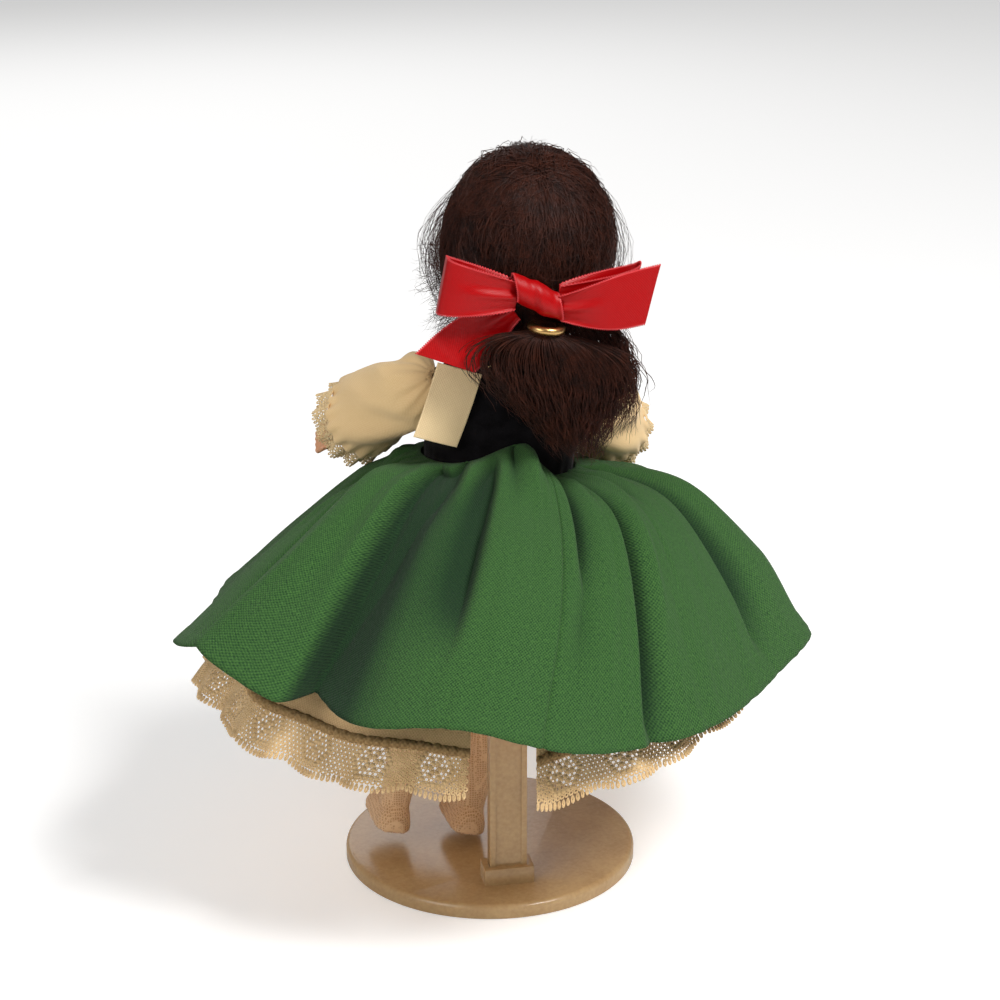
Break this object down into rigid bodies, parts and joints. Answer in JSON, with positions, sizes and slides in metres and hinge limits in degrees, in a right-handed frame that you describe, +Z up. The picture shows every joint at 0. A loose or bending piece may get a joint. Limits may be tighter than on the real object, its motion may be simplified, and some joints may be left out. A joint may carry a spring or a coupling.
{
  "type": "costume doll",
  "caption": "Strung costume doll with sleep eyes and a turning head, in a gathered folk dress with a ribbon bow, held by the waist on a display stand.",
  "frame": {"origin": "centre of the underside of the stand's base", "axes": "+Z up along the stand's post; the doll faces -Y and its left arm is towards +X"},
  "size_m": [0.1748, 0.1734, 0.2072],
  "materials": {
    "stand_plastic": "glossy beige moulding",
    "skin": "satin painted hard plastic",
    "elastic": "white stringing elastic",
    "white_cotton": "white cotton",
    "petticoat_cotton": "aged ivory cotton",
    "lace": "ivory cotton lace",
    "green_cotton": "green plain weave cotton",
    "black_velvet": "black velvet",
    "label_cloth": "bare cream tape",
    "zinc": "plain steel",
    "inner_plastic": "unpainted moulding",
    "lead": "dark cast weight",
    "eye_plastic": "glossy moulded eye",
    "hair": "dark brown doll hair",
    "hair_ring": "satin brass",
    "red_satin": "red satin ribbon",
    "ivory_cotton": "ivory cotton",
    "stocking_net": "flesh net"
  },
  "bodies": {
    "torso": {"stand_base": "stand_plastic", "stand_post": "stand_plastic", "waist_clip": "stand_plastic", "torso_front": "skin", "torso_back": "skin", "arm_elastic": "elastic", "leg_elastic": "elastic", "neck_elastic": "elastic", "panties": "white_cotton", "petticoat": "petticoat_cotton", "petticoat_lace": "lace", "skirt": "green_cotton", "bodice": "black_velvet", "neck_ruffle": "lace", "dress_label": "label_cloth"},
    "head": {"head_shell": "skin", "neck_plate": "zinc", "eye_saddle": "inner_plastic", "hair_cap": "hair", "ponytail": "hair", "hair_band": "hair_ring", "bow_knot": "red_satin", "bow_loop_left": "red_satin", "bow_loop_right": "red_satin", "bow_tail_left": "red_satin", "bow_tail_right": "red_satin"},
    "eyes": {"eye_left": "eye_plastic", "eye_right": "eye_plastic", "eye_axle": "zinc", "eye_weight": "lead"},
    "arm_left": {"arm_left": "skin", "sleeve_left": "ivory_cotton", "cuff_left": "lace"},
    "arm_right": {"arm_right": "skin", "sleeve_right": "ivory_cotton", "cuff_right": "lace"},
    "leg_left": {"leg_left": "skin", "stocking_left": "stocking_net"},
    "leg_right": {"leg_right": "skin", "stocking_right": "stocking_net"}
  },
  "joints": [
    {"name": "head_turn", "type": "hinge", "parent": "torso", "child": "head", "pos_m": [-0.00981, 0, 0.17955], "axis": [-0.1219, 0, 0.9925], "range_deg": [-35, 35], "deforming": ["ponytail"]},
    {"name": "eyes_sleep", "type": "hinge", "parent": "head", "child": "eyes", "pos_m": [-0.00975, -0.01463, 0.17906], "axis": [0.9925, 0, 0.1219], "range_deg": [0, 75]},
    {"name": "arm_left_swing", "type": "hinge", "parent": "torso", "child": "arm_left", "pos_m": [0.02037, 0, 0.14296], "axis": [-0.9925, 0, -0.1219], "range_deg": [0, 90]},
    {"name": "arm_right_swing", "type": "hinge", "parent": "torso", "child": "arm_right", "pos_m": [-0.03025, 0, 0.13674], "axis": [-0.9925, 0, -0.1219], "range_deg": [0, 90]},
    {"name": "leg_left_swing", "type": "hinge", "parent": "torso", "child": "leg_left", "pos_m": [0.01183, 0, 0.09355], "axis": [-0.9925, 0, -0.1219], "range_deg": [-6, 36]},
    {"name": "leg_right_swing", "type": "hinge", "parent": "torso", "child": "leg_right", "pos_m": [-0.01001, 0, 0.09087], "axis": [-0.9925, 0, -0.1219], "range_deg": [-6, 36]}
  ]
}
